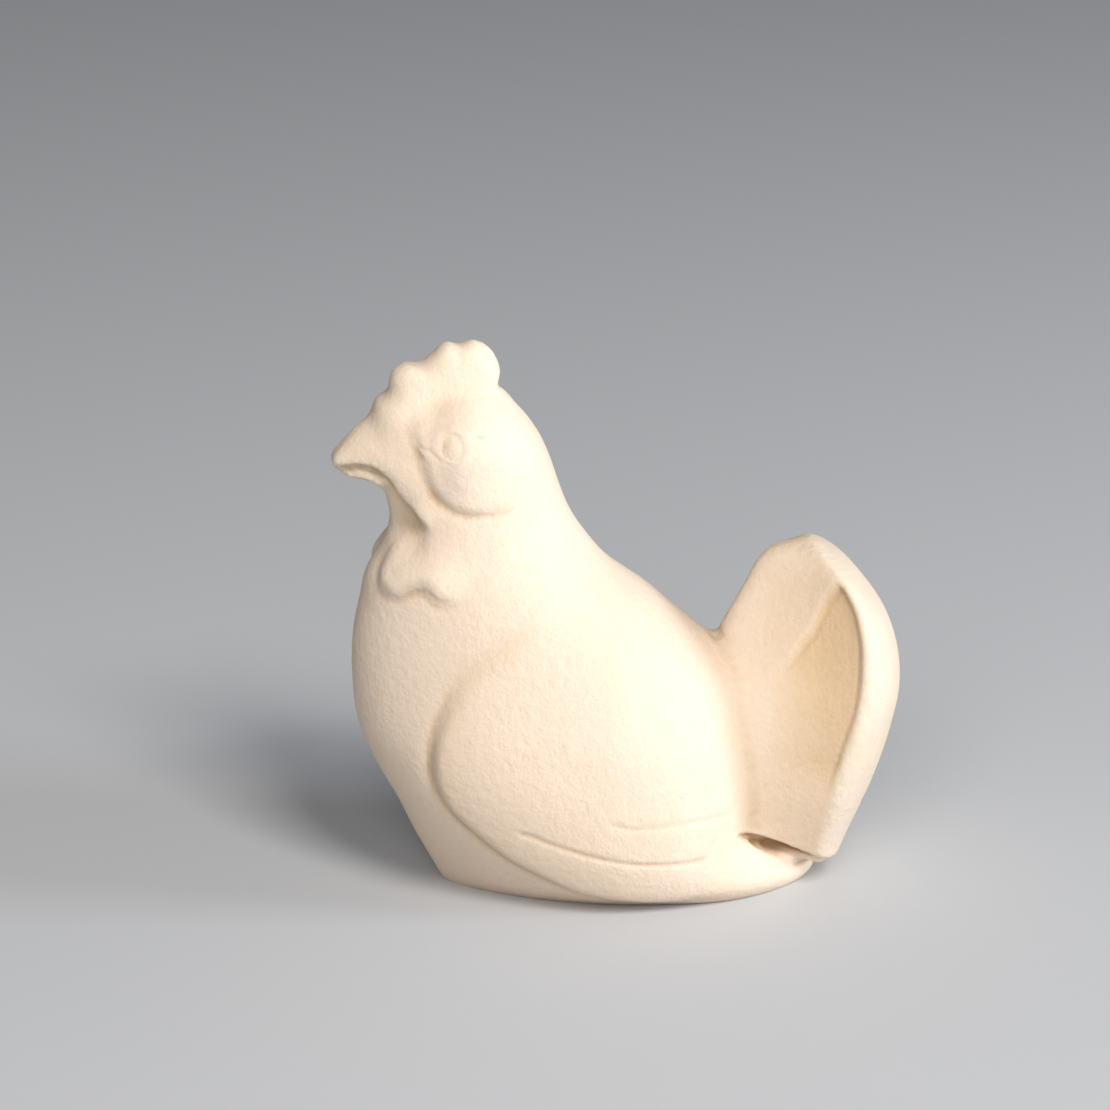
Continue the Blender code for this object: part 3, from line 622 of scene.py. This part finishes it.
# Knife work
# Fine lines cut with the point of a knife: tear groove, lower and upper lid, ear, crease of the cheek,
# mouth, forehead, two feathers of the wing, edge of the wattle, feather of the tail, and top of the slot.
# Each has its route, width and depth. The surface gets finer cells there.
EYE = (-12.5, 34.25)
EYE_REACH = 1.0
LIDS = 0.05
SOCKET = 0.08
LINES = [
    ([(-15.05, 34.45), (-14.8, 33.7), (-14.3, 32.85)], 0.22, 0.12),
    ([(-14.9, 34.75), (-14.6, 34.15), (-13.9, 33.9), (-13.45, 33.5), (-12.95, 33.2), (-12.45, 33.08),
      (-11.95, 33.2)], 0.16, 0.08),
    ([(-13.5, 34.9), (-12.95, 35.15), (-12.3, 35.15), (-11.85, 34.95), (-11.6, 34.6)], 0.15, 0.07),
    ([(-11.3, 35.0), (-10.5, 34.93), (-9.7, 34.9)], 0.2, 0.16),
    ([(-14.3, 32.0), (-13.95, 31.2), (-13.4, 30.35), (-12.7, 29.8), (-11.9, 29.45), (-10.9, 29.3),
      (-9.8, 29.3), (-8.8, 29.45), (-7.7, 29.8)], 0.2, 0.05),
    ([(-20.7, 32.0), (-20.1, 32.05), (-19.0, 32.3), (-18.15, 32.3), (-17.5, 32.1), (-16.9, 31.75)],
     0.15, 0.1),
    ([(-15.2, 38.6), (-14.95, 38.2), (-14.6, 37.6)], 0.15, 0.04),
    ([(-8.9, 7.0), (-7.7, 6.85), (-6.3, 6.25), (-4.55, 5.65), (-2.8, 5.1), (-0.65, 4.65), (1.2, 4.42),
      (3.8, 4.3), (5.5, 4.3)], 0.22, 0.12),
    ([(-2.5, 8.0), (-1.0, 7.45), (0.1, 7.3), (3.0, 7.3), (4.6, 7.3), (7.4, 6.95)], 0.22, 0.07),
    ([(-17.3, 24.4), (-17.3, 23.8), (-17.0, 23.4), (-16.5, 23.2), (-16.1, 23.3), (-15.6, 23.65),
      (-14.85, 23.95), (-14.5, 24.0), (-14.2, 23.8), (-13.8, 23.45), (-13.1, 23.3), (-12.4, 23.4)],
     0.2, 0.05),
    ([(15.1, 10.8), (13.8, 10.55), (12.7, 10.4), (11.8, 9.8), (10.8, 9.2)], 0.2, 0.03),
    ([(7.6, 5.1), (8.3, 4.75), (9.1, 4.35), (11.2, 3.6), (13.3, 2.8), (14.0, 2.6)], 0.17, 0.25),
]
FINE_REACH = 0.7
FINE_PASSES = 3
NOTCH = np.array([(0.0, 7.4, 18.0), (4.5, 8.4, 16.6)])
NOTCH_REACH = 1.2
NOTCH_DEPTH = 0.4
NICK_HEIGHT = 6.5
NICK_DEPTH = 0.16
CUT_SHADE_DEPTH = 0.2


def finer(ob, near):
    """The surface in cells of half the size wherever near is true of its points."""
    bm = bmesh.new()
    bm.from_mesh(ob.data)
    edges = [edge for edge in bm.edges if all(near[vert.index] for vert in edge.verts)]
    bmesh.ops.subdivide_edges(bm, edges=edges, cuts=1, use_grid_fill=True)
    bpy.data.objects.remove(ob)
    return new_object("hen_carving", bm)


routes = [curve_through(knots, 40) for knots, _, _ in LINES]
near = np.linalg.norm(flat - EYE, axis=1) < EYE_REACH + 0.6
near |= distance(seen_from_left(), NOTCH) < NOTCH_REACH
for route in routes:
    near |= distance(flat, route) < FINE_REACH
hen = finer(hen, near)
flat = points_of(hen)[:, 1:]
weight = 1 - ease(np.linalg.norm(flat - EYE, axis=1), EYE_REACH + 0.4, EYE_REACH + 0.8)
for route in routes:
    weight = np.maximum(weight, 1 - ease(distance(flat, route), FINE_REACH - 0.1, FINE_REACH + 0.3))
hen = sanded(hen, FINE_PASSES, weight)


def knife_relief(points, normals):
    """The lines, each fading out towards its two ends."""
    flat = points[:, 1:]
    cut = np.zeros(len(flat))
    for route, (_, width, depth) in zip(routes, LINES):
        ends = np.minimum(*(np.linalg.norm(flat - route[k], axis=1) for k in (0, -1)))
        cut -= depth * bell(distance(flat, route), 0, width) * ease(ends, 0, 0.9)
    return cut * ease(normals[:, 0], 0.05, 0.3)


def eye_relief(points, normals):
    """A shallow socket with raised lids round it."""
    away = np.linalg.norm(points[:, 1:] - EYE, axis=1)
    lids = LIDS * bell(away, EYE_REACH + 0.15, 0.25)
    socket = SOCKET * (1 - ease(away, EYE_REACH - 0.5, EYE_REACH))
    return (lids - socket) * ease(normals[:, 0], 0.2, 0.6)


def nick_relief(points, normals):
    """A slip of the knife across the back of the tail."""
    return -NICK_DEPTH * bell(points[:, 2], NICK_HEIGHT, 0.3) * ease(points[:, 1], 17.0, 18.0)


def notch_relief(points, normals):
    """A sharp cut between the back and the tail."""
    return -NOTCH_DEPTH * bell(distance(points, NOTCH), 0, 0.5) * (1 - ease(points[:, 0], 0.6, 3.6))


for relief in (knife_relief, eye_relief, nick_relief, notch_relief):
    raised(relief)

# Painted shade in the knife lines: each cut adds to how hollow the wood is, so that it is darkened in brown.
points = seen_from_left()
cuts = knife_relief(points, np.ones_like(points))
hollow = np.empty(len(points))
layer = hen.data.attributes["hollow"].data
layer.foreach_get("value", hollow)
layer.foreach_set("value", np.clip(hollow - cuts / CUT_SHADE_DEPTH, -1, HOLLOW_MOST))

# Wood
# Pale lime wood, sanded but not varnished. Its fibres run upright: fine streaks, short pores and a faint warm
# cloud over a mottled, dimpled surface. Creases get painted shade in brown, other shaded parts painted shade
# in tan, and worn edges are paler.
class Value:
    """A number that changes over a surface, kept as a node's socket. Its sums and products are Math nodes."""

    def __init__(self, finish, socket):
        self.finish = finish
        self.socket = socket

    def maths(self, operation, first, second):
        node = self.finish.node("Math", {"operation": operation}, {0: first, 1: second})
        return Value(self.finish, node.outputs[0])

    def __add__(self, other):
        return self.maths("ADD", self, other)

    def __mul__(self, other):
        return self.maths("MULTIPLY", self, other)

    __radd__ = __add__
    __rmul__ = __mul__


class Finish:
    """One procedural finish on a Principled surface."""

    def __init__(self, name):
        self.material = bpy.data.materials.new(name)
        self.material.use_nodes = True
        self.tree = self.material.node_tree
        self.surface = self.tree.nodes["Principled BSDF"]

    def plug(self, socket, value):
        if isinstance(value, Value):
            self.tree.links.new(value.socket, socket)
        else:
            socket.default_value = value

    def node(self, kind, settings, sockets):
        """A node of this kind, with its settings made before its sockets are filled."""
        node = self.tree.nodes.new("ShaderNode" + kind)
        for key, value in settings.items():
            setattr(node, key, value)
        for key, value in sockets.items():
            self.plug(node.inputs[key], value)
        return node

    def value(self, kind, settings, sockets, output=0):
        return Value(self, self.node(kind, settings, sockets).outputs[output])

    def between(self, value, low, high):
        """0 where the value is at low, 1 where it is at high."""
        return self.value("MapRange", {}, {"Value": value, "From Min": low, "From Max": high})

    def mix(self, factor, first, second):
        """A colour between two colours, by the node's colour sockets, which only their numbers tell apart."""
        return self.value("Mix", {"data_type": "RGBA"}, {"Factor": factor, 6: first, 7: second}, 2)

    def noise(self, place, stretch, detail=2.0, roughness=0.5):
        """Noise with its own number of waves per millimetre along X, Y and Z."""
        spread = self.value("Mapping", {}, {"Vector": place, "Scale": [k / MM for k in stretch]})
        sockets = {"Vector": spread, "Scale": 1.0, "Detail": detail, "Roughness": roughness}
        return self.value("TexNoise", {}, sockets)


CREAM = (0.84, 0.70, 0.57, 1)
TAN = (0.70, 0.51, 0.31, 1)
BROWN = (0.42, 0.26, 0.13, 1)
PALE = (0.86, 0.75, 0.58, 1)
STREAKS = (2.4, 2.4, 0.15)
CLOUDS = (0.11, 0.11, 0.05)
FIBRES = (9.0, 9.0, 0.9)
DIMPLES = (1.5, 1.5, 1.5)
BUMP_DEPTH = 0.15

wood = Finish("lime_wood")
place = wood.value("TexCoord", {}, {}, "Object")
hollow = wood.value("Attribute", {"attribute_name": "hollow"}, {}, "Fac")
painted_shade = wood.value("Attribute", {"attribute_name": "painted_shade"}, {}, "Fac")
streak = wood.noise(place, STREAKS, detail=4.0, roughness=0.6)
cloud = wood.noise(place, CLOUDS, detail=3.0)
fibre = wood.noise(place, FIBRES, detail=3.0, roughness=0.65)
dimple = wood.noise(place, DIMPLES, detail=3.0, roughness=0.65)
crease = wood.between(hollow, 0.15, 0.9)
edge = wood.between(hollow, -0.2, -0.9)
pore = wood.between(fibre, 0.62, 0.75)
warm = wood.between(cloud * 0.88 + streak * 0.12, 0.38, 0.66)
speck = wood.between(dimple, 0.35, 0.7)
# The wood's warm cloud and specks, and the painted shade in tan, mix cream towards tan.
colour = wood.mix(warm * 0.22 + painted_shade * 0.7 + speck * 0.12, CREAM, TAN)
colour = wood.mix(pore * 0.25, colour, BROWN)
colour = wood.mix(edge * 0.5, colour, PALE)
# Painted shade in brown in the creases, the knife lines and the slot.
colour = wood.mix(crease * 0.55, colour, BROWN)
wood.plug(wood.surface.inputs["Base Color"], colour)
wood.plug(wood.surface.inputs["Roughness"], 0.62 + 0.16 * dimple)
height = dimple * 0.9 + fibre * 0.12 + streak * painted_shade * 0.4
bump = wood.value("Bump", {}, {"Height": height, "Strength": 0.75, "Distance": BUMP_DEPTH * MM})
wood.plug(wood.surface.inputs["Normal"], bump)
wood.plug(wood.surface.inputs["Specular IOR Level"], 0.3)


def finished(ob, slot, *nodes):
    """Brings a piece to metres, smooth shaded and in wood, in the place of its solids."""
    mesh = ob.data
    mesh.polygons.foreach_set("use_smooth", np.ones(len(mesh.polygons), bool))
    mesh.transform(Matrix.Diagonal((MM, MM, MM, 1)))
    mesh.materials.clear()
    mesh.materials.append(wood.material)
    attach(ob, "root")
    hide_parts(*nodes)


# Eyes
# Each is a low bead of the same wood, left standing in its socket. Its pupil is a small pit towards the beak,
# darkened with painted shade in tan.
EYE_BALL = 2.4
EYE_STANDS = 0.1
EYE_LEAST_X = 2
PUPIL = (-0.4, 0.13)
PUPIL_WIDTH = 0.3
PUPIL_DEPTH = 0.07
PUPIL_SHADE = 0.8


def eye_bead(side):
    """The bead on the left, or on the right where the side is -1."""
    points = points_of(hen)
    normals = normals_of(hen)
    away = np.linalg.norm(points[:, 1:] - EYE, axis=1)
    nearest = np.argmin(np.where(points[:, 0] * side > EYE_LEAST_X, away, np.inf))
    out = Vector(normals[nearest])
    bm = bmesh.new()
    bmesh.ops.create_icosphere(bm, subdivisions=4, radius=EYE_BALL)
    bmesh.ops.translate(bm, verts=bm.verts, vec=Vector(points[nearest]) - out * (EYE_BALL - EYE_STANDS))
    # Painted shade in tan in the pupil's pit.
    shade_layer = bm.verts.layers.float.new("painted_shade")
    for vert in bm.verts:
        aside = math.hypot(vert.co.y - EYE[0] - PUPIL[0], vert.co.z - EYE[1] - PUPIL[1])
        pit = math.exp(-(aside / PUPIL_WIDTH) ** 2)
        vert[shade_layer] = PUPIL_SHADE * pit
        vert.co -= out * PUPIL_DEPTH * pit
    return new_object("eye_bead_" + ("left" if side > 0 else "right"), bm)


beads = [eye_bead(side) for side in (1, -1)]
solids = list(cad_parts)
finished(hen, "torso", *(name for name in solids if not name.startswith("eye")))
for bead in beads:
    finished(bead, "eyes", bead.name.replace("_bead", ""))

# Floor
# A plain pale sheet of matt paper, larger than the frame. It is there for the picture and isn't part of the
# carving.
PAPER = (0.56, 0.57, 0.59, 1)
HALF_SHEET_METRES = 3.0
bm = bmesh.new()
bmesh.ops.create_grid(bm, x_segments=8, y_segments=8, size=HALF_SHEET_METRES)
floor = new_object("floor", bm)
paper = Finish("pale_floor")
paper.plug(paper.surface.inputs["Base Color"], PAPER)
paper.plug(paper.surface.inputs["Roughness"], 0.9)
floor.data.materials.append(paper.material)

# Camera
# Nearly side on, from the hen's left and a little in front, looking down on it. The floor's pixel is where
# the origin, on the floor below the body, shows in the square frame.
AZIMUTH = math.radians(82)
ELEVATION = math.radians(18)
DISTANCE = 320
PIXELS_PER_MM = 13.5
FRAME_SIDE = 1110
FLOOR_PIXEL = (615, 867)
along_floor = math.cos(ELEVATION)
back = Vector((math.sin(AZIMUTH) * along_floor, -math.cos(AZIMUTH) * along_floor, math.sin(ELEVATION)))
right = Vector((math.cos(AZIMUTH), math.sin(AZIMUTH), 0))
up = back.cross(right)
middle = FRAME_SIDE / 2
foot = right * (middle - FLOOR_PIXEL[0]) / PIXELS_PER_MM - up * (middle - FLOOR_PIXEL[1]) / PIXELS_PER_MM
camera = bpy.data.objects.new("camera", bpy.data.cameras.new("camera"))
bpy.context.scene.collection.objects.link(camera)
camera.data.lens = camera.data.sensor_width * DISTANCE * PIXELS_PER_MM / FRAME_SIDE
camera.data.clip_start = 0.01
camera.matrix_world = Matrix((right, up, back)).transposed().to_4x4()
camera.location = (foot + back * DISTANCE) * MM
bpy.context.scene.camera = camera


# Light
# Three broad lamps: a warm one above the camera and to its right, a cool one from the tail's side, and a
# large one beside the camera. Pale light comes from all round.
LIGHT_HEIGHT = 18
SKY = (0.85, 0.87, 0.92, 1)
SKY_STRENGTH = 0.15


def lamp(name, towards, away, size, power, colour):
    """A square lamp that stands away millimetres from the hen in the given direction, and faces it."""
    light = bpy.data.objects.new(name, bpy.data.lights.new(name, "AREA"))
    bpy.context.scene.collection.objects.link(light)
    light.data.size = size * MM
    light.data.energy = power
    light.data.color = colour
    towards = towards.normalized()
    light.location = (towards * away + Vector((0, 0, LIGHT_HEIGHT))) * MM
    light.rotation_mode = "QUATERNION"
    light.rotation_quaternion = towards.to_track_quat("Z", "Y")


lamp("key_lamp", 0.3 * right + 0.45 * up + 0.8 * back,
     away=600, size=200, power=2.6, colour=(1.0, 0.97, 0.93))
lamp("side_lamp", 0.95 * right + 0.15 * up + 0.2 * back,
     away=600, size=160, power=2.4, colour=(0.84, 0.92, 1.0))
lamp("front_lamp", -0.12 * right + 0.22 * up + 0.9 * back,
     away=700, size=300, power=1.6, colour=(1.0, 0.97, 0.94))
sky = bpy.data.worlds.new("studio")
sky.use_nodes = True
background = sky.node_tree.nodes["Background"]
background.inputs["Color"].default_value = SKY
background.inputs["Strength"].default_value = SKY_STRENGTH
bpy.context.scene.world = sky
bpy.context.scene.view_settings.view_transform = "Standard"
